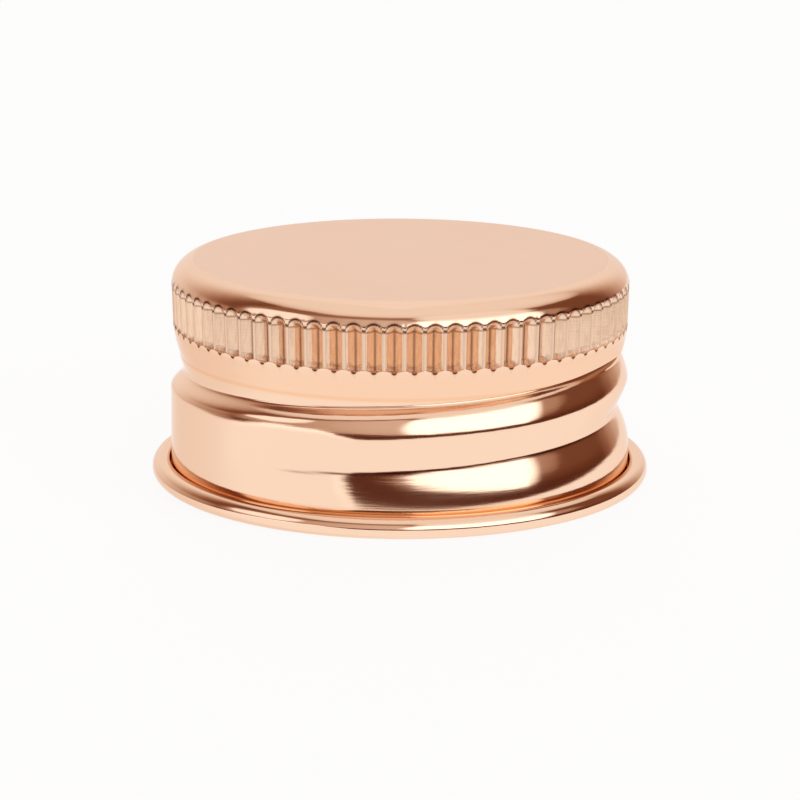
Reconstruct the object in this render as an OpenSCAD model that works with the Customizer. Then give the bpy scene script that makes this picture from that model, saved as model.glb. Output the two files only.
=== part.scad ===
// Sheet-metal screw cap: drawn cup, knurled band, rolled thread and curled rim, with its liner disc.
// Z is the cap's axis and points up. The origin is the middle of the plane that the rim stands on,
// so the mouth opens downwards. Angles run anticlockwise from +X, seen from above.

/* [Shell] */
// Outside diameter of the plain wall
wall_d = 24.55; // [22:0.05:30]
// Height from the plane that the rim stands on to the flat top
cap_h = 11.8; // [10.8:0.1:16]
// Thickness of the sheet metal
sheet = 0.25; // [0.18:0.01:0.32]
// Outside radius of the corner between the top and the wall
corner_r = 1.15; // [0.9:0.05:1.6]

// Height of the truly round stretch of wall between the rim's flare and the thread
plain_wall = 1.1; // [0.8:0.05:1.4]
// How much the wall narrows from there up to the shoulder, as drawn sheet does
wall_draft = 0.02; // [0.005:0.005:0.06]

/* [Knurling] */
// Number of upright flutes round the band
flute_count = 75; // [48:1:84]
// Angle of the first flute's middle
flute_turn = 4.6; // [0:0.1:4.8]
// Depth of a flute below the crests
flute_depth = 0.48; // [0.3:0.01:0.6]
// Width of the flat land left between two flutes
land_w = 0.16; // [0.08:0.01:0.3]
// Length of a flute, from its pointed foot to the top of its arch
flute_len = 2.39; // [1.8:0.01:3.2]
// Length of the sloping foot, where a flute narrows to a point
foot_len = 0.24; // [0.2:0.02:0.6]
// Height of the arched ramp that closes a flute at its top
arch_len = 0.37; // [0.24:0.01:0.44]
// How far the arches reach up into the rounding of the corner
arch_overlap = 0.1; // [0.04:0.01:0.14]
// How far the crests lie inside the outside of the plain wall
crest_inset = 0.14; // [0.08:0.005:0.16]

/* [Waist] */
// How far the smooth skirt under the flutes lies inside the plain wall
skirt_inset = 0.16; // [0.05:0.01:0.3]
// Height of the skirt, from the foot of the flutes down to the waist
skirt_len = 1.53; // [1:0.01:2.4]
// Depth of the waist below the plain wall
waist_depth = 0.53; // [0.3:0.01:0.7]
// Height of the rounded shoulder, from the waist down to the plain wall
shoulder_len = 2; // [1.2:0.05:3]

/* [Thread] */
// Lead of the thread: its rise in one turn
thread_lead = 3.175; // [2.5:0.005:4]
// Depth of the rolled groove below the plain wall
thread_depth = 0.76; // [0.4:0.01:0.95]
// Height of the waist above the groove's root, at angle 0
thread_drop = 2.68; // [2.4:0.02:3.2]
// Angle at which the groove starts
thread_start = -135; // [-180:5:-90]
// Angle that the whole groove turns through
thread_turn = 510; // [400:5:540]
// Part of that angle in which the groove sinks to its full depth
run_in = 150; // [60:5:180]
// Part of that angle in which the groove comes back out
run_out = 50; // [30:5:90]
// Height of the groove's upper flank in its first quarter turn
upper_flank_first = 1.9; // [1.2:0.05:2.6]
// Height of the groove's upper flank where it runs into the waist
upper_flank_last = 3.7; // [2:0.05:4.5]
// Height of the groove's lower flank in its first quarter turn
lower_flank_first = 2; // [1:0.05:2.2]
// Height of the groove's lower flank where it runs into the waist
lower_flank_last = 0.66; // [0.5:0.02:1.5]
// Rounding at the groove's root
root_round = 0.19; // [0.1:0.01:0.3]

/* [Rim] */
// Diameter of the rolled rim's section
roll_d = 1.14; // [0.9:0.02:1.6]
// How far the wall opens outwards before it rolls over
flare = 0.135; // [0.05:0.005:0.25]
// Height of the wall's opening above the middle of the roll
flare_len = 0.63; // [0.4:0.01:0.9]
// Angle that the roll is bent through
roll_turn = 308; // [270:1:312]

/* [Liner] */
// Gap between the liner's lower face and the flutes' inner ends that hold it up
liner_play = 0.03; // [0.02:0.01:0.1]
// Gap between the liner's edge and the wall
liner_gap = 0.3; // [0.2:0.01:0.4]
// Radius of the liner's rounded upper edge
liner_edge_r = 0.84; // [0.5:0.02:0.9]

/* [Hidden] */
$fn = 96;

// Radii
wall_r = wall_d / 2;
crest_r = wall_r - crest_inset;
skirt_r = wall_r - skirt_inset;
waist_r = wall_r - waist_depth;
roll_r = roll_d / 2;
roll_middle_r = wall_r - sheet + flare + roll_r;

// Height of the plain ring between the skirt's top and the flutes' feet
foot_gap = 0.03;
// Height over which the wall widens from the skirt to the crests
crest_rise = 0.2;
// How far the hollow's cutter reaches down through the mouth
mouth_reach = 1;

// Heights
band_top_h = cap_h - corner_r;
flute_top_h = band_top_h + arch_overlap;
flute_foot_h = flute_top_h - flute_len;
ramp_h = flute_top_h - arch_len;
skirt_top_h = flute_foot_h - foot_gap;
crest_start_h = flute_foot_h + crest_rise;
waist_h = flute_foot_h - skirt_len;
shoulder_h = waist_h - shoulder_len;
flare_top_h = roll_r + flare_len;

// Steps of the curved stretches
profile_steps = 4;
ring_step = 4;

// Flutes: the V has the same slope all along, so it narrows as it gets shallower.
// A foot starts a little outside the crests, and the cutters end well outside the wall.
flute_pitch = 360 / flute_count;
flute_w = 2 * crest_r * sin(flute_pitch / 2) - land_w;
flute_slope = flute_w / 2 / flute_depth;
break_through = 0.02;
cutter_reach = 0.08;

// Thread: how far its cutter reaches outside the wall, how far the groove's edges lie outside it,
// and how sharply the flanks curve in towards the root
thread_reach = 0.25;
edge_lift = 0.03;
flank_power = 1.6;

// Inside of the flutes: the same V, one sheet further in, with its nose rounded off flat
v_offset = sheet * sqrt(1 + 1 / pow(flute_slope, 2));
nose_r = crest_r - flute_depth - sheet;
nose_half_w = (v_offset - sheet) * flute_slope;
valley_r = inner_valley_r();

// Radius at which the inner faces of two neighbouring flutes meet
function inner_valley_r() =
    let (apex_r = crest_r - flute_depth - v_offset, half = flute_pitch / 2)
    apex_r / (cos(half) - sin(half) / flute_slope);

function smooth(x) = let (c = min(max(x, 0), 1)) c * c * (3 - 2 * c);

// Outside radius of the wall at a height, before the thread is rolled and above the flare
function skirt_curve(h) =
    skirt_r - (skirt_r - waist_r) * pow((skirt_top_h - h) / (skirt_top_h - waist_h), 2);
function shoulder_curve(h) =
    wall_r - wall_draft - (waist_depth - wall_draft) * pow((h - shoulder_h) / shoulder_len, 2);
function skirt_slope(h) = 2 * (skirt_r - waist_r) * (skirt_top_h - h) / pow(skirt_top_h - waist_h, 2);
function shoulder_slope(h) = -2 * (waist_depth - wall_draft) * (h - shoulder_h) / pow(shoulder_len, 2);
function wall_slope(h) = h >= waist_h ? skirt_slope(h) : shoulder_slope(h);
function wall_curve(h) = h >= waist_h ? skirt_curve(h) : shoulder_curve(h);

// A point on the wall's profile, moved in through the sheet at right angles to the surface
function wall_point(h, inset) =
    let (s = wall_slope(h), n = sqrt(1 + s * s))
    [wall_curve(h) - inset / n, h + inset * s / n];

// Profile from the plain wall up over the shoulder, waist and skirt
function waisted_profile(inset) = concat(
    [for (i = [0:profile_steps - 1]) wall_point(shoulder_h + shoulder_len * i / profile_steps, inset)],
    [waist_point(inset)],
    [for (i = [1:profile_steps]) wall_point(waist_h + (skirt_top_h - waist_h) * i / profile_steps, inset)]);

// The waist's crease, where the shoulder and the skirt meet at an angle
function waist_point(inset) =
    let (below = atan(-shoulder_slope(waist_h)), above = atan(skirt_slope(waist_h)),
         middle = (above - below) / 2, reach = inset / cos((above + below) / 2))
    [waist_r - reach * cos(middle), waist_h + reach * sin(middle)];

// The flare at the foot of the wall, and the plain wall above it
function flare_profile(inset) = [
    [roll_middle_r - roll_r + sheet - inset, roll_r],
    [wall_r - inset, flare_top_h],
    [wall_r - inset, flare_top_h + plain_wall]];

// Solid cup with the outside of the shell, before knurling and threading
module outer_form() {
    rotate_extrude() {
        polygon(concat(
            [[0, roll_r]],
            flare_profile(0),
            waisted_profile(0),
            [[crest_r, crest_start_h], [crest_r, band_top_h], [0, band_top_h]]));
        rounded_top(crest_r, corner_r, band_top_h, cap_h);
    }
}

// Half section of a disc whose upper edge is rounded
module rounded_top(r, edge_r, low_h, high_h) {
    section_box(0, r - edge_r, low_h, high_h);
    intersection() {
        translate([r - edge_r, high_h - edge_r]) circle(edge_r);
        section_box(r - edge_r, r, low_h, high_h);
    }
}

module section_box(inner, outer, low_h, high_h) {
    polygon([[inner, low_h], [outer, low_h], [outer, high_h], [inner, high_h]]);
}

// One flute's cutter: a V whose root sinks from the pointed foot and runs upright to the ramp.
// The ramp rises from the V's upper end to an arch on the band's surface.
module flute_cutter() {
    far_r = crest_r + cutter_reach;
    root_r = crest_r - flute_depth;
    shares = [1, 0.75, 0.4, 0, -0.4, -0.75, -1];
    last = len(shares) - 1;
    far_half = (far_r - root_r) * flute_slope;
    // A point of the V's section at a share of its half width, and the ramp's end above it
    function in_v(k) = abs(shares[k]) == 1 ? [far_r, shares[k] * far_half]
        : [root_r + abs(shares[k]) * flute_depth, shares[k] * flute_w / 2];
    function ramp_end(k) = let (s = abs(shares[k]), sunk = flute_depth * (1 - s))
        [far_r, shares[k] * flute_w / 2, ramp_h + arch_len * sqrt(1 - s * s) * (1 + cutter_reach / sunk)];
    foot = [[crest_r + break_through, 0, flute_foot_h],
        [far_r, (cutter_reach - break_through) * flute_slope, flute_foot_h],
        [far_r, (break_through - cutter_reach) * flute_slope, flute_foot_h]];
    knee = [[root_r, 0, flute_foot_h + foot_len], [far_r, far_half, flute_foot_h + foot_len],
        [far_r, -far_half, flute_foot_h + foot_len]];
    upper = [for (k = [0:last]) [in_v(k)[0], in_v(k)[1], ramp_h]];
    ends = [for (k = [1:last - 1]) ramp_end(k)];
    u = 6;
    e = u + last;
    middle = last / 2;
    faces = concat(
        [[2, 1, 0], [1, 4, 3, 0], [0, 3, 5, 2], [2, 5, 4, 1]],
        [concat([for (k = [0:middle]) u + k], [3, 4])],
        [concat([for (k = [middle:last]) u + k], [5, 3])],
        [concat([u + last], [for (k = [last - 1:-1:1]) e + k], [u, 4, 5])],
        [for (k = [1:last - 2]) each [[e + k + 1, u + k + 1, u + k], [e + k, e + k + 1, u + k]]],
        [[e + 1, u + 1, u], [e + last - 1, u + last, u + last - 1]]);
    polyhedron(concat(foot, knee, upper, ends), faces);
}

module flute_cutters() {
    for (i = [0:flute_count - 1]) rotate(flute_turn + i * flute_pitch) flute_cutter();
}

// Depth of the thread's groove at a height t above its root, for a groove of full depth 1
function groove_share(t, upper, lower) =
    let (w = t > 0 ? upper : lower, a = sqrt(t * t + root_round * root_round) - root_round)
    pow(max(1 - a / w, 0), flank_power);

// Share of the full depth that the groove has at an angle
function groove_depth(angle) =
    thread_depth * smooth((angle - thread_start) / run_in)
        * smooth((thread_start + thread_turn - angle) / run_out);

// Everything outside the thread's groove, moved in by inset, swept up its helix
module thread_sweep(inset) {
    shares = [-1, -0.75, -0.5, -0.3, -0.14, -0.05, 0, 0.05, 0.12, 0.25, 0.45, 0.7, 1];
    rings = floor(thread_turn / ring_step);
    count = len(shares) + 2;
    far_r = wall_r + thread_reach;
    // Rings sit half a facet's sag further out, so that the facets lie evenly about the true groove
    swell = (1 / cos(ring_step / 2) + 1) / 2;
    points = [for (i = [0:rings])
        let (angle = thread_start + thread_turn * i / rings,
             root_h = waist_h - thread_drop + thread_lead * angle / 360,
             late = smooth(angle / 180),
             upper = upper_flank_first + (upper_flank_last - upper_flank_first) * late,
             lower = lower_flank_first + (lower_flank_last - lower_flank_first) * late,
             depth = groove_depth(angle),
             section = groove_section(shares, upper, lower, depth, inset, far_r))
        each [for (p = section) [swell * p[0] * cos(angle), swell * p[0] * sin(angle), p[1] + root_h]]];
    faces = concat(
        [[for (k = [0:count - 1]) k]],
        [for (i = [0:rings - 1]) each [for (k = [0:count - 1])
            let (a = i * count + k, b = i * count + (k + 1) % count)
            each [[a, a + count, b + count], [a, b + count, b]]]],
        [[for (k = [count - 1:-1:0]) rings * count + k]]);
    polyhedron(points, faces);
}

// Radius and height of the groove's outline, closed off outside the wall
function groove_section(shares, upper, lower, depth, inset, far_r) =
    let (outline = [for (s = shares)
        let (t = s * (s > 0 ? upper : lower),
             step = 0.01,
             slope = -depth * (groove_share(t + step, upper, lower)
                 - groove_share(t - step, upper, lower)) / (2 * step),
             n = sqrt(1 + slope * slope))
        [wall_r + edge_lift - depth * groove_share(t, upper, lower) - inset / n, t + inset * slope / n]])
    concat([[far_r, outline[0][1]]], outline, [[far_r, outline[len(outline) - 1][1]]]);

// Space inside the shell: the outside forms, one sheet further in
module cavity() {
    difference() {
        union() {
            rotate_extrude() {
                polygon(concat(
                    [[0, roll_r - mouth_reach]],
                    [[roll_middle_r - roll_r, roll_r - mouth_reach]],
                    flare_profile(sheet),
                    waisted_profile(sheet),
                    [[nose_r, flute_foot_h + foot_len - foot_rise()], [0, flute_foot_h + foot_len]]));
                upper_cavity_section();
            }
            translate([0, 0, flute_foot_h]) linear_extrude(flute_len) rotate(flute_turn) fluted_outline();
        }
        thread_sweep(sheet);
    }
}

// How far the sheet's thickness lifts the inner end of a flute's foot
function foot_rise() = sheet * sqrt(pow(foot_len, 2) + pow(flute_depth, 2)) / flute_depth;

// Height of the inside of the flutes' ramps at a radius: the ramp's root line, one sheet further in
function inner_ramp_h(r) =
    let (ramp = sqrt(pow(arch_len, 2) + pow(flute_depth, 2)))
    ramp_h + sheet * (ramp - arch_len) / flute_depth + arch_len * max(r - nose_r, 0) / flute_depth;

// Half section of the space above the flutes' inner ends
module upper_cavity_section() {
    inner_r = crest_r - sheet;
    low_h = inner_ramp_h(nose_r);
    intersection() {
        polygon([[0, low_h], [nose_r, low_h], [inner_r, inner_ramp_h(inner_r)], [inner_r, cap_h], [0, cap_h]]);
        rounded_top(inner_r, corner_r - sheet, low_h, cap_h - sheet);
    }
}

// Outline of the inner faces of all the flutes
module fluted_outline() {
    polygon([for (i = [0:flute_count - 1])
        let (a = i * flute_pitch, turn = atan(nose_half_w / nose_r))
        each [
            [nose_r * cos(a - turn), nose_r * sin(a - turn)],
            [nose_r * cos(a + turn), nose_r * sin(a + turn)],
            [valley_r * cos(a + flute_pitch / 2), valley_r * sin(a + flute_pitch / 2)]]]);
}

// The rolled rim: the sheet bent outwards and round until its edge nearly meets the wall
module rolled_rim() {
    rotate_extrude() translate([roll_middle_r, roll_r]) difference() {
        circle(roll_r);
        circle(roll_r - sheet);
        gap_sector(180 - (360 - roll_turn), 180);
    }
}

// The part of the roll's section that stays open
module gap_sector(from, to) {
    reach = 3 * roll_r;
    polygon([[0, 0], reach * [cos(from), sin(from)], reach * [cos((from + to) / 2), sin((from + to) / 2)],
        reach * [cos(to), sin(to)]]);
}

module cap_shell() {
    color([0.93, 0.72, 0.60]) union() {
        difference() {
            outer_form();
            flute_cutters();
            thread_sweep(0);
            cavity();
        }
        rolled_rim();
    }
}

// A foam disc pressed up against the inside of the top, held there by the inner ends of the flutes
module sealing_liner() {
    liner_r = crest_r - sheet - liner_gap;
    color([0.95, 0.95, 0.93]) rotate_extrude()
        rounded_top(liner_r, liner_edge_r, inner_ramp_h(liner_r) + liner_play, cap_h - sheet);
}

cap_shell();
sealing_liner();
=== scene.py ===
# %% [markdown]
# # A knurled screw cap, pressed and rolled from one sheet
#
# The object is a small metal screw cap standing on its open rim. It is one piece of thin sheet: a flat
# top with a rounded corner, a band of upright flutes to grip, a narrow waist, a rolled screw thread, a
# plain wall and an outward roll at the mouth. A foam disc sits inside, against the top.
#
# The CAD model is loaded first. It fixes the frame and the outer sizes, so all that is made here goes in
# the same place, in metres, with the rim's plane at height zero and the cap's axis as Z.

# %% Load the frame
import math

import bpy
import numpy as np
from mathutils import Matrix, Vector


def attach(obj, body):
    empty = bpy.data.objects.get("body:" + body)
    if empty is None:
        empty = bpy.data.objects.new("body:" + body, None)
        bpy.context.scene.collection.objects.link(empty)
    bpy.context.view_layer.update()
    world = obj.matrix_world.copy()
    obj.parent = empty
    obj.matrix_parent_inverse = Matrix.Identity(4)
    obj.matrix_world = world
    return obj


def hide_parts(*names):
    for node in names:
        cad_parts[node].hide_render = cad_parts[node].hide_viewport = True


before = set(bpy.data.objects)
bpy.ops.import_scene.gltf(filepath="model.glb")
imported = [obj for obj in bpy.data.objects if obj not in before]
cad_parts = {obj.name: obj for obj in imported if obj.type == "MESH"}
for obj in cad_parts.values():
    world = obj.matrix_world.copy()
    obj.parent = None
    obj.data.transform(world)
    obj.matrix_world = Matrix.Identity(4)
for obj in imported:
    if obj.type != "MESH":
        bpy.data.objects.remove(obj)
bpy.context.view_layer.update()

# %% [markdown]
# ## The sizes of the sheet
#
# A press shop would give these sizes on its drawing. They are in millimetres, because that is how thin
# sheet is thought about, and they are turned into metres only when the mesh is made.
#
# Almost all of them are the CAD model's. The shell made here differs from it in four small ways, for
# the way that the metal catches the light: the crests lean outwards by less than a tenth of a
# millimetre as they rise, the skirt is a hair further in, the groove's edge is softer, and a flute ends
# on a ledge and not on a short slope.

# %% Sizes of the cup
MM = 0.001
WALL_R = 12.275
CAP_H = 11.8
SHEET = 0.25
CORNER_R = 1.15
CORNER_H = CAP_H - CORNER_R

# %% Sizes of the flutes
FLUTES = 75
FLUTE_TURN = 4.6
FLUTE_DEPTH = 0.48
FLUTE_LAND = 0.16
FLUTE_LEN = 2.39
FLUTE_TOP = CORNER_H + 0.1
FLUTE_FOOT = FLUTE_TOP - FLUTE_LEN
FOOT_LEN = 0.24
FOOT_RISE = 0.12
ARCH_LEN = 0.37
RAMP_H = FLUTE_TOP - ARCH_LEN
ROOT_OF_V_ROUND = 0.02
CREST_ROUND = 0.03

CREST_R = WALL_R - 0.14
CREST_LEAN = 0.07
LEAN_SHARE_AT_TOP = 0.4
EARLY_TURN = 0.08
EARLY_TURN_LEN = 0.37

# %% Sizes of the skirt, the waist and the wall
SKIRT_R = WALL_R - 0.182
SKIRT_TOP = FLUTE_FOOT - 0.03
SKIRT_LEN = 1.53
WAIST_H = FLUTE_FOOT - SKIRT_LEN
WAIST_DEPTH = 0.53
WAIST_ROUND = 0.03
SHOULDER_LEN = 2.0
SHOULDER_H = WAIST_H - SHOULDER_LEN

# %% Sizes of the thread
THREAD_LEAD = 3.175
THREAD_DEPTH = 0.76
THREAD_ROOT = WAIST_H - 2.68
THREAD_START = -135.0
THREAD_TURN = 510.0
RUN_IN = 150.0
RUN_OUT = 50.0
UPPER_FLANK = (1.9, 3.7)
LOWER_FLANK = (2.0, 0.66)
FLANK_POWER = 1.6
ROOT_ROUND = 0.19
GROOVE_BEGUN = 0.05
GROOVE_EDGE_ROUND = 0.043
GROOVE_EDGE_LIFT = 0.016

# %% Sizes of the rolled rim, and of the wall just above it
ROLL_R = 0.57
FLARE = 0.135
FLARE_POWER = 1.3
FLARE_TOP = ROLL_R + 0.63
ROLL_MIDDLE = WALL_R - SHEET + FLARE + ROLL_R
ROLL_TURN = 308.0
WALL_DRAFT = 0.02
DRAFT_START = FLARE_TOP + 1.1
print(f"wall {2 * WALL_R:.2f} mm, rim {2 * (ROLL_MIDDLE + ROLL_R):.2f} mm, height {CAP_H} mm")

# %% [markdown]
# ## Smooth steps, and rounded joins between two surfaces
#
# Pressed sheet has no knife edges: where two surfaces meet, the metal bends over a small radius. A
# rounded minimum or maximum of two radii does just that. Far from the join it returns one of the
# two, and near it the two blend over a width that we choose.

# %% Shape helpers
def smooth(x):
    x = np.clip(x, 0.0, 1.0)
    return x * x * (3.0 - 2.0 * x)


def round_min(a, b, width):
    return 0.5 * (a + b - np.sqrt((a - b) ** 2 + width ** 2))


def round_max(a, b, width):
    return 0.5 * (a + b + np.sqrt((a - b) ** 2 + width ** 2))


# %% [markdown]
# ## The wall's outline
#
# Seen from the side, the wall is straight, bends in over a rounded shoulder to the waist, and flares
# out again as a smooth skirt under the flutes. It could be drawn as a curve and spun round the axis. But
# the thread has to sink into it, so each stretch is written as a function of height, which the thread's
# formula can then take away from.

# %% Wall outline
def plain_outline(h):
    down = np.maximum(SKIRT_TOP - h, 0.0) / (SKIRT_TOP - WAIST_H)
    lean = CREST_LEAN * (SKIRT_TOP - WAIST_H) / (CORNER_H - SKIRT_TOP)
    skirt = SKIRT_R - lean * down - (SKIRT_R - (WALL_R - WAIST_DEPTH) - lean) * down ** 2
    fall = np.maximum(h - SHOULDER_H, 0.0) / SHOULDER_LEN
    draft = WALL_DRAFT * smooth((h - DRAFT_START) / (SHOULDER_H - DRAFT_START))
    shoulder = WALL_R - draft - (WAIST_DEPTH - WALL_DRAFT) * fall ** 2
    return round_max(skirt, shoulder, WAIST_ROUND)


# %% [markdown]
# ## The rolled thread
#
# A roller pushes a groove into the wall along a helix. It rises one lead in each turn, starts shallow,
# runs at full depth, and fades out again where it meets the waist. From outside it is a groove, and
# inside it stands out as the ridge that grips the bottle's neck.
#
# The groove's section has a tight rounded root and two flanks that ease out into the wall. The upper
# flank widens along the turn while the lower one narrows, as if the roller leaned over near the waist.
# A swept section cut out with a Boolean would leave a hard, ragged edge where the groove fades out, and
# a formula fades smoothly.

# %% Thread groove
def root_height(angle):
    return THREAD_ROOT + THREAD_LEAD * angle / 360.0


def pressed_share(angle):
    """How far the roller is pressed in: it rises from 0 to 1 along the run-in and falls in the run-out."""
    end = THREAD_START + THREAD_TURN
    return smooth((angle - THREAD_START) / RUN_IN) * smooth((end - angle) / RUN_OUT)


def groove(theta, h):
    deepest = np.zeros(np.broadcast(theta, h).shape)
    for turn in (-1, 0, 1):
        angle = theta + 360.0 * turn
        late = smooth(angle / 180.0)
        upper = UPPER_FLANK[0] + (UPPER_FLANK[1] - UPPER_FLANK[0]) * late
        lower = LOWER_FLANK[0] + (LOWER_FLANK[1] - LOWER_FLANK[0]) * late
        rise = h - root_height(angle)
        away = (np.sqrt(rise ** 2 + ROOT_ROUND ** 2) - ROOT_ROUND) / np.where(rise > 0, upper, lower)
        section = np.clip(1.0 - away, 0.0, 1.0) ** FLANK_POWER
        deepest = np.maximum(deepest, THREAD_DEPTH * pressed_share(angle) * section)
    return deepest


def threaded_outline(theta, h):
    g = groove(theta, h)
    begun = smooth(g / GROOVE_BEGUN)
    return round_min(plain_outline(h), WALL_R - g + GROOVE_EDGE_LIFT * begun, GROOVE_EDGE_ROUND * begun)


# %% [markdown]
# ## The flutes
#
# The grip is knurled by pressing the wall inwards between teeth: 75 upright V-shaped flutes with
# narrow lands left between them. At the top the sheet is drawn up from the V's end over a short ramp,
# whose upper edge is an arch. At the bottom the V ends on a tiny ledge, lowest at the V's root.
#
# One flute could be modelled and repeated with an Array modifier, but the pieces would have to be sewn
# to the corner and the skirt. A formula needs no seams. It describes a flute by how far a place on the
# wall lies from the flute's middle. On the ramp each place climbs straight from its depth in the V to
# the arch above it.

# %% Flutes
PITCH = 360.0 / FLUTES
FLUTE_W = 2 * CREST_R * math.sin(math.radians(PITCH / 2)) - FLUTE_LAND
FLUTE_SLOPE = FLUTE_W / 2 / FLUTE_DEPTH
LEAST_ARCH = 0.002


def from_flute_middle(theta):
    offset = (theta - FLUTE_TURN + PITCH / 2) % PITCH - PITCH / 2
    return CREST_R * np.sin(np.radians(offset))


def crest_outline(h):
    """The crests lean outwards a little as they rise, and start to turn in just before the corner."""
    up = np.minimum(h, CORNER_H) - CORNER_H
    early = EARLY_TURN * np.maximum(h - CORNER_H + EARLY_TURN_LEN, 0.0) ** 2
    r = CREST_R + CREST_LEAN * (LEAN_SHARE_AT_TOP + up / (CORNER_H - SKIRT_TOP)) - early
    return r - CORNER_R + np.sqrt(np.maximum(CORNER_R ** 2 - np.maximum(h - CORNER_H, 0.0) ** 2, 0.0))


def flute_depth(theta, h):
    """How deep the flute is at a place, below the crests. It is negative outside the V."""
    x = from_flute_middle(theta)
    across = 1.0 - (np.sqrt(x ** 2 + ROOT_OF_V_ROUND ** 2) - ROOT_OF_V_ROUND) / (FLUTE_W / 2)
    arch = ARCH_LEN * np.sqrt(np.maximum(1.0 - (1.0 - across) ** 2, LEAST_ARCH))
    return FLUTE_DEPTH * np.minimum(across, across * (1.0 - np.maximum(h - RAMP_H, 0.0) / arch))


def fluted_outline(theta, h, share=1.0):
    crest = np.where(h < SKIRT_TOP, plain_outline(h), crest_outline(h))
    return round_min(crest, crest - share * flute_depth(theta, h), CREST_ROUND * share)


def foot_line(theta):
    """The height at which the V ends: lowest at its root."""
    return SKIRT_TOP + FOOT_RISE * np.clip(np.abs(from_flute_middle(theta)) / (FLUTE_W / 2), 0.0, 1.0)


print(f"flute {FLUTE_W:.3f} mm wide, one each {PITCH} degrees")

# %% [markdown]
# ## Rows and columns of the shell's mesh
#
# The shell is built as a grid wrapped round the axis. A row is one closed ring of points, and the rows
# follow the sheet's surface from the middle of the top, down the outside, round the rolled rim and back
# up the inside to the middle again, so the sheet has its real thickness and the mesh is closed.
#
# Points are spent where the shape needs them. The band of flutes has four times as many columns as the
# wall, most of them near the flutes' roots and edges, and the ribs inside have twice as many. Each step
# below is a share of the pitch, counted from a flute's middle.

# %% Columns
fine_steps = np.array([-0.46, -0.42, -0.37, -0.28, -0.16, -0.1, -0.06, -0.03,
                       0.0, 0.03, 0.06, 0.1, 0.16, 0.28, 0.37, 0.42])
rib_steps = np.array([-0.46, -0.32, -0.16, -0.07, 0.0, 0.07, 0.16, 0.32])


def in_every_flute(steps):
    return np.concatenate([FLUTE_TURN + (k + steps) * PITCH for k in range(FLUTES)])


fine_angles = in_every_flute(fine_steps)
rib_angles = in_every_flute(rib_steps)
coarse_angles = in_every_flute(fine_steps[::4])
print(len(fine_angles), "fine columns,", len(coarse_angles), "coarse ones")

# %% [markdown]
# The wall's rows aren't level. In each column they crowd together at the thread's root and at the
# waist, where the surface bends most, so they follow the helix.

# %% Rows of the threaded wall
SAMPLES = 1400
WAIST_CROWD = 2.2
WAIST_REACH = 0.16
ROOT_CROWD = 2.6
ROOT_REACH = 0.2


def line(distance, width):
    """1 on a line, and less and less over the given width beside it."""
    return np.exp(-(distance / width) ** 2)


def wall_rows(angles, low, high, count):
    heights = np.linspace(low, high, SAMPLES)
    crowd = np.ones((len(heights), len(angles)))
    crowd += WAIST_CROWD * line(heights[:, None] - WAIST_H, WAIST_REACH)
    for turn in (-1, 0, 1):
        angle = angles + 360.0 * turn
        crowd += ROOT_CROWD * pressed_share(angle) * line(heights[:, None] - root_height(angle), ROOT_REACH)
    total = np.cumsum(crowd, axis=0)
    total = (total - total[0]) / (total[-1] - total[0])
    picks = np.linspace(0.0, 1.0, count)
    return np.stack([np.interp(picks, total[:, c], heights) for c in range(len(angles))], axis=1)


# %% [markdown]
# ## Building the shell
#
# Each row is stored as its columns' angles, radii and heights. The first rows are circles on the flat
# top, and then the corner bends down to the crests.

# %% Rows of the top and the corner
TOP_CIRCLES = (3.0, 6.5, 9.5, 10.8)
CORNER_ENDS_AT = 12.0
CORNER_ROWS = 14
JUST_UNDER_TOP = CAP_H - 1e-6
rows = []


def add_row(angles, r, h):
    shape = np.ones(len(angles))
    rows.append((angles, shape * r, shape * h))


for r in TOP_CIRCLES:
    add_row(coarse_angles, r, CAP_H)
for a in np.linspace(90.0, CORNER_ENDS_AT, CORNER_ROWS):
    corner_h = CORNER_H + CORNER_R * math.sin(math.radians(a))
    add_row(coarse_angles, crest_outline(min(corner_h, JUST_UNDER_TOP)), corner_h)

# %% [markdown]
# In the band of flutes, rows crowd together along the arches and at the foot. An arch row is given in
# arch lengths above the ramp's lower end. Each foot row lies a little above or below the line where the
# V ends, and has a share of the V's depth: the share drops from 1 to 0 in the ledge. Below it the rows
# spread out over the top of the skirt.

# %% Rows of the flutes
ARCH_ROWS = (1.24, 1.14, 1.05, 0.97, 0.88, 0.78, 0.67, 0.55, 0.42, 0.28, 0.14, 0.05, 0.0, -0.06, -0.15, -0.3)
BAND_MIDDLE = 9.6
FOOT_ROWS = ((0.3, 1), (0.15, 1), (0.06, 1), (0.02, 1), (0, 1), (-0.002, 0.9), (-0.01, 0.1), (-0.012, 0))
LEDGE = 0.012
SKIRT_ROWS = (0.06, 0.16, 0.3, 0.5, 0.75, 1.0)
FINE_ROWS_END = SKIRT_TOP - 0.13

first_fine = len(rows)
for h in [*(RAMP_H + ARCH_LEN * np.array(ARCH_ROWS)), BAND_MIDDLE]:
    add_row(fine_angles, fluted_outline(fine_angles, h), h)
for above, share in FOOT_ROWS:
    h = foot_line(fine_angles) + above
    add_row(fine_angles, fluted_outline(fine_angles, h, share), h)
for share in SKIRT_ROWS:
    h = foot_line(fine_angles) - LEDGE
    h = h + share * (FINE_ROWS_END - h)
    add_row(fine_angles, fluted_outline(fine_angles, h, 0.0), h)
last_fine = len(rows)

# %% [markdown]
# Then come the waist and the threaded wall. The last of its rows, near the rim, belong to the cleft
# between the wall and the roll, which gets painted shade, so the number of the first one is kept.

# %% Rows of the wall
WALL_ROWS = 75
ROWS_ABOVE_CLEFT = 60
OUTER_ROWS_START = SKIRT_TOP - 0.42

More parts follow.
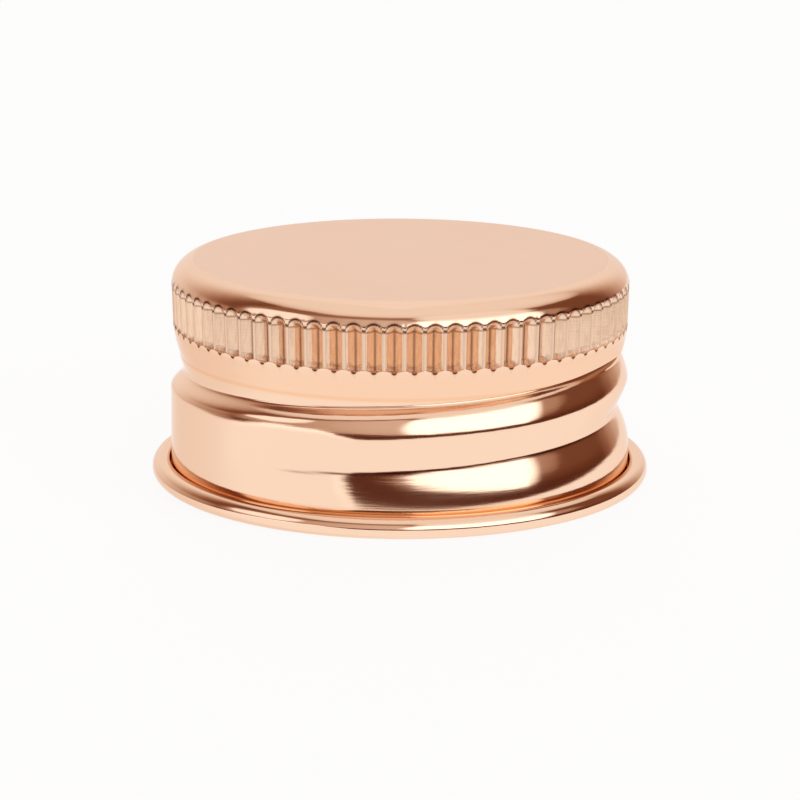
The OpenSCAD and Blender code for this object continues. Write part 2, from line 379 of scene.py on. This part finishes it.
first_cleft = len(rows) + ROWS_ABOVE_CLEFT
wall_h = wall_rows(coarse_angles, FLARE_TOP, OUTER_ROWS_START, WALL_ROWS)
for h in wall_h[::-1]:
    add_row(coarse_angles, threaded_outline(coarse_angles, h), h)
print("outer rows:", len(rows), "of which fluted:", last_fine - first_fine)

# %% [markdown]
# ## The rolled rim
#
# Past the plain wall the sheet bends outwards, up and back towards the wall, until its cut edge almost
# touches it. The wall's outer face ends up inside the roll, and its inner face is what we see on the
# rim. So the rows go round a small circle first, over the cut edge, and back round a circle that is one
# sheet bigger. A ring of tube would look the same from outside, but it would be a second piece of metal.
#
# The cut edge is rounded by three rows. Each is given in degrees past the end of the roll, and by its
# radius from the roll's middle.

# %% Rim rows
FLARE_SHARES = (0.75, 0.5, 0.25)
INNER_ROLL_ROWS = 9
CUT_EDGE = ((3, 0.34), (5, 0.445), (3, 0.55))
OUTER_ROLL_ROWS = 27


def add_roll_row(degrees, r):
    a = math.radians(degrees)
    add_row(coarse_angles, ROLL_MIDDLE + r * math.cos(a), ROLL_R + r * math.sin(a))


def add_flare_row(wall_r, share):
    add_row(coarse_angles, wall_r + FLARE * (1 - share) ** FLARE_POWER, ROLL_R + (FLARE_TOP - ROLL_R) * share)


for share in FLARE_SHARES:
    add_flare_row(WALL_R, share)
for a in np.linspace(180.0, 180.0 + ROLL_TURN, INNER_ROLL_ROWS):
    add_roll_row(a, ROLL_R - SHEET)
for past, r in CUT_EDGE:
    add_roll_row(180 + (ROLL_TURN + past), r)
last_cleft = len(rows)
for a in np.linspace(180.0 + ROLL_TURN - 1, 180.0, OUTER_ROLL_ROWS):
    add_roll_row(a, ROLL_R)
print("rows after the rim:", len(rows))

# %% [markdown]
# ## The inside of the shell
#
# The inside follows the outside one sheet further in, measured square to the surface. So where the
# wall slopes, the step inwards is a little longer. Inside the flutes it is a ring of blunt ribs.

# %% Inner surfaces
SLOPE_STEP = 0.02
RIB_FOOT = FLUTE_FOOT - 0.27
RIB_END = RAMP_H + 0.12


def inner_wall(theta, h):
    rise = threaded_outline(theta, h + SLOPE_STEP) - threaded_outline(theta, h - SLOPE_STEP)
    slope = rise / (2 * SLOPE_STEP)
    return threaded_outline(theta, h) - SHEET * np.sqrt(1.0 + slope ** 2)


def inner_ribs(theta, h):
    foot = max(0.0, 1.0 - (h - RIB_FOOT) / FOOT_LEN)
    end = max(0.0, (h - RIB_END) / ARCH_LEN)
    nose = CREST_R - FLUTE_DEPTH * (1.0 - foot - end) - SHEET
    root = CREST_R - FLUTE_DEPTH - SHEET * math.sqrt(1 + 1 / FLUTE_SLOPE ** 2)
    v = root + np.abs(from_flute_middle(theta)) / FLUTE_SLOPE
    return np.minimum(np.maximum(nose, v), min(CREST_R, float(plain_outline(h))) - SHEET)


# %% Inner rows
INNER_WALL_ROWS = 20
INNER_ROWS_END = SKIRT_TOP - 0.3
RIB_ROWS = (8.08, 8.14, 8.2, 8.26, 8.33, 9.0, 9.7, 10.4, 10.5, 10.57, 10.64)
INNER_CORNER_R = CORNER_R - SHEET
INNER_CORNER_ROWS = 7
CEILING_CIRCLES = (9.5, 5.0)

for share in FLARE_SHARES[::-1]:
    add_flare_row(WALL_R - SHEET, share)
for h in wall_rows(coarse_angles, FLARE_TOP, INNER_ROWS_END, INNER_WALL_ROWS):
    add_row(coarse_angles, inner_wall(coarse_angles, h), h)
for h in RIB_ROWS:
    add_row(rib_angles, inner_ribs(rib_angles, h), h)
for a in np.radians(np.linspace(0.0, 90.0, INNER_CORNER_ROWS)):
    corner_r = CREST_R - CORNER_R + INNER_CORNER_R * math.cos(a)
    add_row(coarse_angles, corner_r, CORNER_H + INNER_CORNER_R * math.sin(a))
for r in CEILING_CIRCLES:
    add_row(coarse_angles, r, CAP_H - SHEET)
print("all rows:", len(rows))

# %% [markdown]
# ## Points and faces
#
# Two neighbouring rows with the same columns are joined by four-sided faces. Where a row of the fine
# band meets a coarse row, four fine steps share one coarse step, and the faces there have seven sides.
# Where the ribs meet a coarse row, two steps share one, and the faces have five. Two fans of triangles
# close the mesh in the middle of the top, outside and inside.

# %% Points and faces
def shell_points():
    points = [(0.0, 0.0, CAP_H)]
    starts = []
    for angles, r, h in rows:
        starts.append(len(points))
        a = np.radians(angles)
        points += list(zip(r * np.cos(a), r * np.sin(a), h))
    points.append((0.0, 0.0, CAP_H - SHEET))
    return [(x * MM, y * MM, z * MM) for x, y, z in points], starts


def shell_faces(starts, last_point):
    n = len(rows[0][0])
    faces = [(0, starts[0] + k, starts[0] + (k + 1) % n) for k in range(n)]
    for i in range(len(rows) - 1):
        n, m = len(rows[i][0]), len(rows[i + 1][0])
        steps = min(n, m)
        for k in range(steps):
            upper = [starts[i] + q % n for q in range(k * n // steps, (k + 1) * n // steps + 1)]
            lower = [starts[i + 1] + q % m for q in range(k * m // steps, (k + 1) * m // steps + 1)]
            faces.append(lower + upper[::-1])
    last = starts[-1]
    n = len(rows[-1][0])
    faces += [(last_point, last + (k + 1) % n, last + k) for k in range(n)]
    return faces


# %% [markdown]
# ## Tones that the finish needs
#
# Three numbers are painted on the points, and the material turns them into colour. An image could hold
# them too, but it would need the surface laid flat, and the points already know where they are. The
# first is painted shade: a deeper, redder colour where the metal mirrors itself, in the cleft by the
# rim and in the waist, and a little on the skirt.

# %% Where the painted shade lies in the cleft, the waist and the skirt
CLEFT_TOP = FLARE_TOP + 0.2
WAIST_TONE = 0.5
WAIST_TONE_WIDTH = 0.12
SKIRT_TONE = 0.2
SKIRT_TONE_END = SKIRT_TOP + 0.1
HOLLOW_SHADE_EASE = 0.3


# Painted shade: 1 deep in the cleft, and a band along the waist and on the skirt.
def hollow_shade(h, row):
    if first_cleft <= row < last_cleft:
        return smooth((CLEFT_TOP - h) / HOLLOW_SHADE_EASE)
    skirt = SKIRT_TONE * smooth((h - WAIST_H) / HOLLOW_SHADE_EASE) * smooth((SKIRT_TONE_END - h) / HOLLOW_SHADE_EASE)
    return (WAIST_TONE * line(h - WAIST_H, WAIST_TONE_WIDTH) + skirt) * (row < first_cleft)


# %% [markdown]
# The second says how much a place has been worked by the knurling tool. It is 0 on the plain wall, 1 on
# a flute's sides, and up to 2 in its foot and in the tip of its arch.

# %% Where the flutes are
FOOT_TIP = 0.22
FOOT_TIP_EASE = 0.14
ARCH_TIP = 0.12
SIDE_EASE = 0.06


def flute_paint(theta, r, h):
    if len(theta) < len(fine_angles):
        return np.zeros(len(theta))
    foot_tip = smooth((foot_line(theta) + FOOT_TIP - h) / FOOT_TIP_EASE)
    arch_tip = smooth((h - RAMP_H - ARCH_TIP) / ARCH_TIP)
    return smooth((crest_outline(h) - r) / SIDE_EASE) * (1.0 + (foot_tip + arch_tip))


# %% [markdown]
# The third is painted shade: it says how dark a place is where the tight creases of the flutes catch no
# light. There are five of them: the V's root, its two edges, the lower end of the ramp, the outline
# of the arch, and a small half ring under the V's foot.

# %% Where the creases are
CREASE_WIDTH = 0.04
ROOT_TONE = 0.85
EDGE_TONE = 0.25
RAMP_TONE = 0.65
RAMP_DROP = 0.02
ARCH_TONE = 1.4
ARCH_TONE_WIDTH = 0.07
ARCH_TONE_RISE = 0.05
RING_TONE = 1.6
RING_R = 0.08
RING_WIDTH = 0.05
UNDER_FOOT = 0.011
AT_FOOT = 0.001
CREASES_END = SKIRT_TOP - 0.2
CREASES_EASE = 0.1


# Painted shade: how dark each crease of a flute is drawn.
def crease(theta, h):
    x = np.abs(from_flute_middle(theta))
    arch = RAMP_H + ARCH_LEN * np.sqrt(np.clip(1.0 - (x / (FLUTE_W / 2)) ** 2, 0.0, 1.0))
    in_flute = (h < RAMP_H + RAMP_DROP) & (h > foot_line(theta) - AT_FOOT)
    from_ring = np.sqrt(x ** 2 + (h - FLUTE_FOOT) ** 2) - RING_R
    darkest = np.maximum.reduce([
        ROOT_TONE * line(x, CREASE_WIDTH) * in_flute,
        EDGE_TONE * line(x - FLUTE_W / 2, CREASE_WIDTH) * in_flute,
        RAMP_TONE * line(h - RAMP_H + RAMP_DROP, CREASE_WIDTH) * (x < FLUTE_W / 2),
        ARCH_TONE * line(h - arch - ARCH_TONE_RISE, ARCH_TONE_WIDTH),
        RING_TONE * line(from_ring, RING_WIDTH) * (h < foot_line(theta) - UNDER_FOOT)])
    return np.clip(darkest, 0.0, 1.0) * smooth((h - CREASES_END) / CREASES_EASE)


# %% [markdown]
# The thread has a painted dark reflection too, a thin, crisp line just below the groove's root. It
# starts where the roller first bites and fades out as the groove gets deep.

# %% The painted dark reflection along the groove
MARK_DROP = 0.13
MARK_WIDTH = 0.045
BITE_START = -122.0
BITE_TURN = 14.0
FADE_START = -60.0
FADE_TURN = 50.0


# Painted reflection: a thin dark line just below the groove's root.
def groove_dark_reflection(theta, h):
    marks = np.zeros(len(theta))
    for turn in (-1, 0):
        angle = theta + 360.0 * turn
        bite = smooth((angle - BITE_START) / BITE_TURN) * (1.0 - smooth((angle - FADE_START) / FADE_TURN))
        marks = np.maximum(marks, bite * line(h - root_height(angle) + MARK_DROP, MARK_WIDTH))
    return marks


# %% [markdown]
# The painted shade of the creases and the painted reflection along the groove are kept to the outer
# layers of the metal by their radius. A little of them reaches the ribs and the ridge inside, where it
# does no harm. The two points in the middle of the top belong to no row, and get 0.

# %% The shell's object
CREASES_FROM_R = CREST_R - 0.6
MARKS_FROM_R = 11.6


def paint_points(mesh, name, tones):
    values = [0.0, *(v for row_tones in tones for v in row_tones), 0.0]
    mesh.attributes.new(name, "FLOAT", "POINT").data.foreach_set("value", values)


# Painted shade in the flutes' creases, plus the painted dark reflection along the groove.
def dark_places(angles, r, h):
    return crease(angles, h) * (r > CREASES_FROM_R) + groove_dark_reflection(angles, h) * (r > MARKS_FROM_R)


def shell_mesh():
    points, starts = shell_points()
    mesh = bpy.data.meshes.new("cap_shell_skin")
    mesh.from_pydata(points, [], shell_faces(starts, len(points) - 1))
    # The first two numbers are painted shade, with a painted dark reflection along the groove.
    paint_points(mesh, "hollow_shade", [hollow_shade(h, k) for k, (angles, r, h) in enumerate(rows)])
    paint_points(mesh, "crease", [dark_places(angles, r, h) for angles, r, h in rows])
    paint_points(mesh, "flute", [flute_paint(angles, r, h) for angles, r, h in rows])
    mesh.validate()
    mesh.polygons.foreach_set("use_smooth", [True] * len(mesh.polygons))
    mesh.update()
    return mesh


mesh = shell_mesh()
shell = bpy.data.objects.new("knurled_cap_shell", mesh)
bpy.context.scene.collection.objects.link(shell)
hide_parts("cap_shell")
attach(shell, "root")
print("shell:", len(mesh.vertices), "points,", sum(len(p.vertices) - 2 for p in mesh.polygons), "triangles")

# %% [markdown]
# ## Writing shaders as sums
#
# A material in Blender is a graph of nodes. Long sums are hard to read as nodes, so a small class wraps
# a socket, and the usual signs add the Math node that they stand for.

# %% Shader helpers
class Value:
    """A socket that carries a number or a colour."""

    def __init__(self, paint, socket):
        self.paint = paint
        self.socket = socket

    def _math(self, operation, a, b):
        return self.paint.node("ShaderNodeMath", {"operation": operation}, {0: a, 1: b})[0]

    def __add__(self, other):
        return self._math("ADD", self, other)

    __radd__ = __add__

    def __sub__(self, other):
        return self._math("SUBTRACT", self, other)

    def __rsub__(self, other):
        return self._math("SUBTRACT", other, self)

    def __mul__(self, other):
        return self._math("MULTIPLY", self, other)

    __rmul__ = __mul__

    def __truediv__(self, other):
        return self._math("DIVIDE", self, other)

    def __pow__(self, other):
        return self._math("POWER", self, other)

    def __rpow__(self, other):
        return self._math("POWER", other, self)

    def at_least(self, other):
        return self._math("MAXIMUM", self, other)

    def size(self):
        return self._math("ABSOLUTE", self, 0.0)

    def ease(self, low, high):
        """A smooth step from 0 at low to 1 at high."""
        return self.paint.node("ShaderNodeMapRange", {"interpolation_type": "SMOOTHSTEP"},
                               {0: self, 1: low, 2: high})[0]


# %% [markdown]
# Nodes are added through one more class. Its node method takes a node's kind, its settings and the
# values or links of its sockets, and gives back all its outputs.

# %% Nodes
class Paint:
    """One material, or the world, and a way to add nodes to it."""

    def __init__(self, owner):
        owner.use_nodes = True
        self.tree = owner.node_tree
        self.tree.nodes.clear()

    def node(self, kind, settings, values):
        made = self.tree.nodes.new(kind)
        for name, value in settings.items():
            setattr(made, name, value)
        for name, value in values.items():
            socket = made.inputs[name]
            if isinstance(value, Value):
                self.tree.links.new(value.socket, socket)
            else:
                socket.default_value = value
        return [Value(self, s) for s in made.outputs]

    def mix(self, share, a, b):
        return self.node("ShaderNodeMix", {"data_type": "RGBA"}, {0: share, 6: a, 7: b})[2]

    def place(self):
        """Where a point lies in its object, in metres."""
        return self.node("ShaderNodeTexCoord", {}, {})[3]

    def painted(self, name):
        """The number painted on the mesh's points under a name."""
        return self.node("ShaderNodeAttribute", {"attribute_name": name}, {})[2]

    def noise(self, place, scale, detail):
        return self.node("ShaderNodeTexNoise", {}, {"Vector": place, "Scale": scale, "Detail": detail})[0]

    def stretched(self, place, factors):
        return self.node("ShaderNodeMapping", {}, {"Vector": place, "Scale": factors})[0]


# %% [markdown]
# ## Rose-gold finish
#
# The sheet is aluminium with a clear coppery coat over fine polishing. The coat could be a layer of its
# own in the shader, but it is so thin that its colour goes straight into the metal's. The tone drifts a
# little from place to place. Painted shade deepens and reddens it where the painted numbers say, the
# flutes are a touch darker and their tips paler, with fine upright streaks from the knurling tool, and
# the creases are painted dark as shade. The flat top is satin: the punch pressed it there, and nothing
# burnished it as the rollers did the wall. None of it is an image, so it has no seams.

# %% Rose-gold tones
SHEET_TONES = ((0.957, 0.668, 0.487, 1.0), (0.977, 0.688, 0.507, 1.0))
HOLLOW_SHADE_COLOUR = (0.93, 0.46, 0.2, 1.0)
FLUTE_COLOUR = (0.93, 0.65, 0.465, 1.0)
FLUTE_TIP_COLOUR = (1.0, 0.8, 0.64, 1.0)
STREAK_COLOUR = (0.7, 0.4, 0.22, 1.0)
STREAK_SHARE = 0.3
STREAK_RANGE = (0.42, 0.7)
CREASE_SHADE_COLOUR = (0.13, 0.03, 0.006, 1.0)
SATIN_COLOUR = (0.946, 0.708, 0.561, 1.0)
EDGE_TINT = (0.93, 0.84, 0.78, 1.0)


def sheet_colour(paint, cloud, streak, in_flute, satin_top):
    colour = paint.mix(cloud, *SHEET_TONES)
    # Painted shade: the cleft, the waist and the skirt get a deeper, redder colour.
    colour = paint.mix(paint.painted("hollow_shade"), colour, HOLLOW_SHADE_COLOUR)
    colour = paint.mix(in_flute, colour, FLUTE_COLOUR)
    colour = paint.mix(in_flute - 1.0, colour, FLUTE_TIP_COLOUR)
    colour = paint.mix(in_flute * streak.ease(*STREAK_RANGE) * STREAK_SHARE, colour, STREAK_COLOUR)
    # Painted shade in the flutes' creases, and a painted dark reflection along the groove.
    colour = paint.mix(paint.painted("crease"), colour, CREASE_SHADE_COLOUR)
    return paint.mix(satin_top, colour, SATIN_COLOUR)


# %% [markdown]
# The metal mirrors large soft shapes but not sharply. How rough it is varies with the same cloud, the
# flutes' streaks and tips, and the satin top. Fine lines run round it everywhere, and stronger ones on
# the thread, left by the rollers. They are so shallow that a bump is enough.

# %% Rose-gold metal
CLOUD_SCALE = 160.0
STREAK_SCALE = 1500.0
STREAK_STRETCH = (6.0, 6.0, 1.0)
FINE_SCALE = 700.0
FINE_STRETCH = (1.0, 1.0, 26.0)
ROLLED_SCALE = 230.0
ROLLED_STRETCH = (1.0, 1.0, 14.0)
DETAIL = 3.0
FINE_DETAIL = 2.0
THREAD_BEGINS = (1.2 * MM, 2.2 * MM)
THREAD_ENDS = (WAIST_H * MM, (WAIST_H + 0.4) * MM)
SATIN_BEGINS = ((CAP_H - 0.03) * MM, (CAP_H - 0.004) * MM)
POLISHED_ROUGH = 0.07
CLOUD_ROUGH = 0.05
STREAK_ROUGH = 0.04
TIP_ROUGH = 0.4
SATIN_ROUGH = 0.28
SATIN_CLOUD_ROUGH = 0.06
STREAK_RELIEF = 0.4
ROLLED_RELIEF = 3.0
BUMP_STRENGTH = 0.4
BUMP_DEPTH = 0.000002


def rose_gold():
    material = bpy.data.materials.new("rose_gold_sheet")
    paint = Paint(material)
    place = paint.place()
    height = paint.node("ShaderNodeSeparateXYZ", {}, {0: place})[2]
    cloud = paint.noise(place, CLOUD_SCALE, DETAIL)
    streak = paint.noise(paint.stretched(place, STREAK_STRETCH), STREAK_SCALE, DETAIL)
    fine = paint.noise(paint.stretched(place, FINE_STRETCH), FINE_SCALE, FINE_DETAIL)
    rolled = paint.noise(paint.stretched(place, ROLLED_STRETCH), ROLLED_SCALE, DETAIL)
    in_flute = paint.painted("flute")
    satin_top = height.ease(*SATIN_BEGINS)
    on_thread = height.ease(*THREAD_BEGINS) * (1.0 - height.ease(*THREAD_ENDS))
    rough = POLISHED_ROUGH + CLOUD_ROUGH * cloud + STREAK_ROUGH * in_flute * streak
    rough = rough + TIP_ROUGH * (in_flute - 1.0).at_least(0.0)
    rough = rough + satin_top * (SATIN_ROUGH + SATIN_CLOUD_ROUGH * cloud)
    relief = fine + STREAK_RELIEF * streak + ROLLED_RELIEF * on_thread * rolled
    bump = paint.node("ShaderNodeBump", {},
                      {"Strength": BUMP_STRENGTH, "Distance": BUMP_DEPTH, "Height": relief})[0]
    metal = paint.node("ShaderNodeBsdfPrincipled", {}, {
        "Base Color": sheet_colour(paint, cloud, streak, in_flute, satin_top),
        "Metallic": 1.0, "Roughness": rough, "Normal": bump, "Specular Tint": EDGE_TINT})
    paint.node("ShaderNodeOutputMaterial", {}, {"Surface": metal[0]})
    return material


shell.data.materials.append(rose_gold())

# %% [markdown]
# ## The foam liner
#
# The liner is the CAD disc. Its shape is right, so it keeps its mesh and only gets a matte foam finish:
# small closed cells, and an off-white that drifts a little.

# %% Foam
FOAM_TONES = ((0.76, 0.75, 0.72, 1.0), (0.84, 0.83, 0.81, 1.0))
CELL_SCALE = 6500.0
CELL_STRENGTH = 0.3
CELL_DEPTH = 0.00004
DRIFT_SCALE = 420.0
DRIFT_DETAIL = 4.0
FOAM_ROUGH = 0.7
FOAM_ROUGH_DRIFT = 0.1


def foam():
    material = bpy.data.materials.new("liner_foam")
    paint = Paint(material)
    place = paint.place()
    cells = paint.node("ShaderNodeTexVoronoi", {}, {"Vector": place, "Scale": CELL_SCALE})[0]
    drift = paint.noise(place, DRIFT_SCALE, DRIFT_DETAIL)
    bump = paint.node("ShaderNodeBump", {},
                      {"Strength": CELL_STRENGTH, "Distance": CELL_DEPTH, "Height": cells})[0]
    matte = paint.node("ShaderNodeBsdfPrincipled", {}, {
        "Base Color": paint.mix(drift, *FOAM_TONES),
        "Roughness": FOAM_ROUGH + FOAM_ROUGH_DRIFT * drift, "Normal": bump})
    paint.node("ShaderNodeOutputMaterial", {}, {"Surface": matte[0]})
    return material


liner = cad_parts["sealing_liner"]
liner.data.materials.clear()
liner.data.materials.append(foam())

# %% [markdown]
# ## The studio
#
# Polished metal shows nothing but its surroundings, so what it mirrors matters as much as its finish. A
# room of real lamps and cards would need many rays to look clean in such small curves. Instead the
# studio is drawn as a picture of what the cap has to mirror: a pale tent above, a pale wall behind, a
# bright soft box in front on the right, a fainter glow on the left before a grey card, darkness at both
# sides, and a pale table whose far edge leaves a thin dark gap under the soft box.
#
# The picture is a formula. Each direction has an azimuth, counted from the camera's side to the right,
# and a height above the horizon, both in degrees. A pair of numbers below is a range in degrees over
# which something eases in or out.

# %% Directions
world = bpy.data.worlds.new("studio_air")
bpy.context.scene.world = world
air = Paint(world)
x, y, z = air.node("ShaderNodeSeparateXYZ", {}, {0: air.node("ShaderNodeTexCoord", {}, {})[0]})
azimuth = air.node("ShaderNodeMath", {"operation": "ARCTAN2"}, {0: x, 1: 0.0 - y})[0] * (180.0 / math.pi)
height = air.node("ShaderNodeMath", {"operation": "ARCSINE"}, {0: z})[0] * (180.0 / math.pi)
side = azimuth.size()
left = 0.0 - azimuth
right = azimuth


def patch(azimuth, middle, half, power, soft):
    """1 inside a rounded box of directions, 0 outside it, with a soft edge."""
    across = ((azimuth - middle[0]) / half[0]).size() ** power
    out = across + ((height - middle[1]) / half[1]).size() ** power
    return 1.0 - out.ease(1.0 - soft, 1.0 + soft)


# %% [markdown]
# The room itself is dark, with a pale wall behind. A low strip of it shows on the left, where the wall
# begins, and a grey card stands in front on the left and gets lighter towards the middle.

# %% The room
DARK = 0.025
DARK_RISE = 0.045
HORIZON = (-5.0, 8.0)
WALL_LEVEL = 0.85
WALL_LEFT = (95.0, 165.0)
WALL_RIGHT = (118.0, 165.0)
STRIP_LEVEL = 0.22
STRIP_SIDE = (84.0, 100.0)
STRIP_TOP = (4.0, 18.0)
CARD_LEVEL = 0.28
CARD_GAIN = 0.2
CARD_GAIN_RANGE = (-60.0, -8.0)
CARD_LEFT = (-92.0, -80.0)
CARD_RIGHT = (0.0, 12.0)
CARD_FOOT = (-5.5, -2.0)
CARD_TOP = (30.0, 42.0)
CARD_TOP_LOSS = 0.8

back = WALL_LEVEL * (left.ease(*WALL_LEFT) + right.ease(*WALL_RIGHT))
low_back = STRIP_LEVEL * left.ease(*STRIP_SIDE) * (1.0 - height.ease(*STRIP_TOP)) * (1.0 - back)
card = CARD_LEVEL + CARD_GAIN * azimuth.ease(*CARD_GAIN_RANGE)
card = card * azimuth.ease(*CARD_LEFT) * (1.0 - azimuth.ease(*CARD_RIGHT))
card = card * height.ease(*CARD_FOOT) * (1.0 - CARD_TOP_LOSS * height.ease(*CARD_TOP))
level = DARK + DARK_RISE * height.ease(*HORIZON) + back + low_back + card

# %% [markdown]
# The tent's lower edge isn't level: it is a little higher on the left, and lower on the right and
# behind. Above the edge the tent gets lighter fast at first and then slowly. Where two lights meet, the
# brighter one wins.

# %% The tent
TENT = 0.85
TENT_EDGE = 45.5
TENT_STEP = 5.0
STEP_LEFT = (38.0, 66.0)
STEP_LEFT_ENDS = (112.0, 140.0)
STEP_RIGHT = (60.0, 100.0)
STEP_BACK = (95.0, 130.0)
FALL_OFF = 4.0
EULER = 2.718

tent_edge = TENT_EDGE + TENT_STEP * left.ease(*STEP_LEFT) * (1.0 - left.ease(*STEP_LEFT_ENDS))
tent_edge = tent_edge - TENT_STEP * right.ease(*STEP_RIGHT) - TENT_STEP * side.ease(*STEP_BACK)
above = (height - tent_edge).at_least(0.0)
level = level.at_least(TENT * (1.0 - EULER ** (above / -FALL_OFF)))

# %% [markdown]
# The soft boxes are patches of light. Each has its middle and its half size in degrees, how square it
# is, and how soft its edge is. The big one on the right leans a little, is brightest below, and has a
# clean lower edge. A faint glow widens it to the right, and a second patch lies above it.

# %% The soft boxes
LEFT_GLOW = 1.1
LEFT_PATCH = ((-65.0, 20.0), (20.0, 17.0), 2.5, 0.45)
RIGHT_BOX = 1.8
BOX_PATCH = ((35.0, 15.0), (36.0, 26.0), 3.0, 0.35)
BOX_LEAN = 0.25
BOX_FOOT = (-4.6, -1.6)
BOX_LOSS = 0.85
BOX_LOSS_RANGE = (20.0, 38.0)
SIDE_GLOW = 0.28
SIDE_PATCH = ((74.0, 18.0), (18.0, 14.0), 2.0, 0.7)
UPPER_GLOW = 0.9
UPPER_PATCH = ((44.0, 44.0), (36.0, 16.0), 3.0, 0.5)

level = level.at_least(LEFT_GLOW * patch(azimuth, *LEFT_PATCH))
box = patch(azimuth - BOX_LEAN * height, *BOX_PATCH) * height.ease(*BOX_FOOT)
level = level.at_least((RIGHT_BOX - BOX_LOSS * height.ease(*BOX_LOSS_RANGE)) * box)
level = level.at_least(SIDE_GLOW * patch(azimuth, *SIDE_PATCH))
level = level.at_least(UPPER_GLOW * patch(azimuth, *UPPER_PATCH))

# %% [markdown]
# The table is seen up to its far edge, which lies below the horizon in front and rises to both sides
# and behind. On the left a light lies on the table and lifts its edge, and past it the table is a little
# darker. Everything under the edge is table, whatever was there before.

# %% The table
TABLE = 1.01
TABLE_EDGE = -13.2
LIT_BEGINS = (16.0, 42.0)
LIT_ENDS = (58.0, 105.0)
LIT_RISE = 11.0
LIT_GAIN = 0.42
LIT_GAIN_RANGE = (-6.0, -1.0)
EDGE_RISES = ((left, 2.5, (80.0, 110.0)), (left, 7.5, (135.0, 178.0)), (right, 10.0, (55.0, 140.0)))
SHADE_LOSS = 0.12
SHADE_BEGINS = (75.0, 120.0)
SHADE_ENDS = (135.0, 178.0)
EDGE_SOFT = (-1.1, 1.1)

lit = left.ease(*LIT_BEGINS) * (1.0 - left.ease(*LIT_ENDS))
table_edge = LIT_RISE * lit + TABLE_EDGE
for way, rise, turn in EDGE_RISES:
    table_edge = table_edge + rise * way.ease(*turn)
table = TABLE - SHADE_LOSS * left.ease(*SHADE_BEGINS) * (1.0 - left.ease(*SHADE_ENDS))
table = table + LIT_GAIN * lit * (height - table_edge).ease(*LIT_GAIN_RANGE)
on_table = 1.0 - (height - table_edge).ease(*EDGE_SOFT)
level = level + on_table * (table - level)

# %% [markdown]
# Shade in a warm room isn't grey: it gets redder as it gets darker. So the level is turned into a colour
# by three powers, which leave white alone and warm the darks. Levels above 1 go into the strength
# instead. Camera rays see plain white, so the background stays clean.

# %% World
RED_POWER = 0.64
BLUE_POWER = 1.22
WHITE = (1.0, 1.0, 1.0, 1.0)

shade = 1.0 - (1.0 - level).at_least(0.0)
warm = air.node("ShaderNodeCombineColor", {}, {0: shade ** RED_POWER, 1: shade, 2: shade ** BLUE_POWER})[0]
mirrored = air.node("ShaderNodeBackground", {}, {"Color": warm, "Strength": level.at_least(1.0)})[0]
white = air.node("ShaderNodeBackground", {}, {"Color": WHITE, "Strength": 1.0})[0]
is_camera_ray = air.node("ShaderNodeLightPath", {}, {})[0]
seen = air.node("ShaderNodeMixShader", {}, {0: is_camera_ray, 1: mirrored, 2: white})[0]
air.node("ShaderNodeOutputWorld", {}, {"Surface": seen})
print("world nodes:", len(air.tree.nodes))

# %% [markdown]
# ## The floor
#
# The cap stands on a white card. Seen straight, the card is almost pure white and keeps only the soft
# contact shadow. The metal mirrors the picture of the table instead, so mirrored rays pass through.

# %% Floor
CARD_COLOUR = (0.9, 0.9, 0.9, 1.0)
CARD_ROUGH = 0.55
CARD_ROUGH_GRAIN = 0.1
GRAIN_SCALE = 900.0
GRAIN_DETAIL = 2.0
PLAIN_STRENGTH = 1.02
PLAIN_SHARE = 0.88
FLOOR_SIZE = 1.6


def floor_material():
    material = bpy.data.materials.new("studio_floor")
    paint = Paint(material)
    rays = paint.node("ShaderNodeLightPath", {}, {})
    is_camera_ray = rays[0]
    is_mirrored_ray = rays[3]
    grain = paint.noise(paint.place(), GRAIN_SCALE, GRAIN_DETAIL)
    card = paint.node("ShaderNodeBsdfPrincipled", {}, {
        "Base Color": CARD_COLOUR, "Roughness": CARD_ROUGH + CARD_ROUGH_GRAIN * grain})[0]
    plain = paint.node("ShaderNodeEmission", {}, {"Color": WHITE, "Strength": PLAIN_STRENGTH})[0]
    clear = paint.node("ShaderNodeBsdfTransparent", {}, {})[0]
    seen = paint.node("ShaderNodeMixShader", {}, {0: is_camera_ray * PLAIN_SHARE, 1: card, 2: plain})[0]
    passes = is_mirrored_ray * (1.0 - is_camera_ray)
    seen = paint.node("ShaderNodeMixShader", {}, {0: passes, 1: seen, 2: clear})[0]
    paint.node("ShaderNodeOutputMaterial", {}, {"Surface": seen})
    return material


bpy.ops.mesh.primitive_plane_add(size=FLOOR_SIZE, location=(0, 0, 0))
floor = bpy.context.object
floor.name = "studio_floor"
floor.data.materials.append(floor_material())

# %% [markdown]
# ## The camera
#
# A long lens from a little above: the straight upright lines stay nearly parallel and the top shows as
# a flat ellipse. The camera leans to one side by 0.3 of a degree.

# %% Camera
LENS = 137.4
SENSOR = 36.0
VIEW_ABOVE = math.radians(14.06)
VIEW_DISTANCE = 0.164
VIEW_LEAN = 0.0052
TARGET = Vector((0, 0, 0.003959))

camera = bpy.data.objects.new("camera", bpy.data.cameras.new("camera"))
bpy.context.scene.collection.objects.link(camera)
camera.data.lens = LENS
camera.data.sensor_width = SENSOR
away = Vector((0, -math.cos(VIEW_ABOVE), math.sin(VIEW_ABOVE)))
camera.location = TARGET + away * VIEW_DISTANCE
camera.rotation_mode = "QUATERNION"
camera.rotation_quaternion = away.to_track_quat("Z", "Y") @ Matrix.Rotation(VIEW_LEAN, 3, "Z").to_quaternion()
bpy.context.scene.camera = camera
bpy.context.scene.view_settings.view_transform = "Standard"
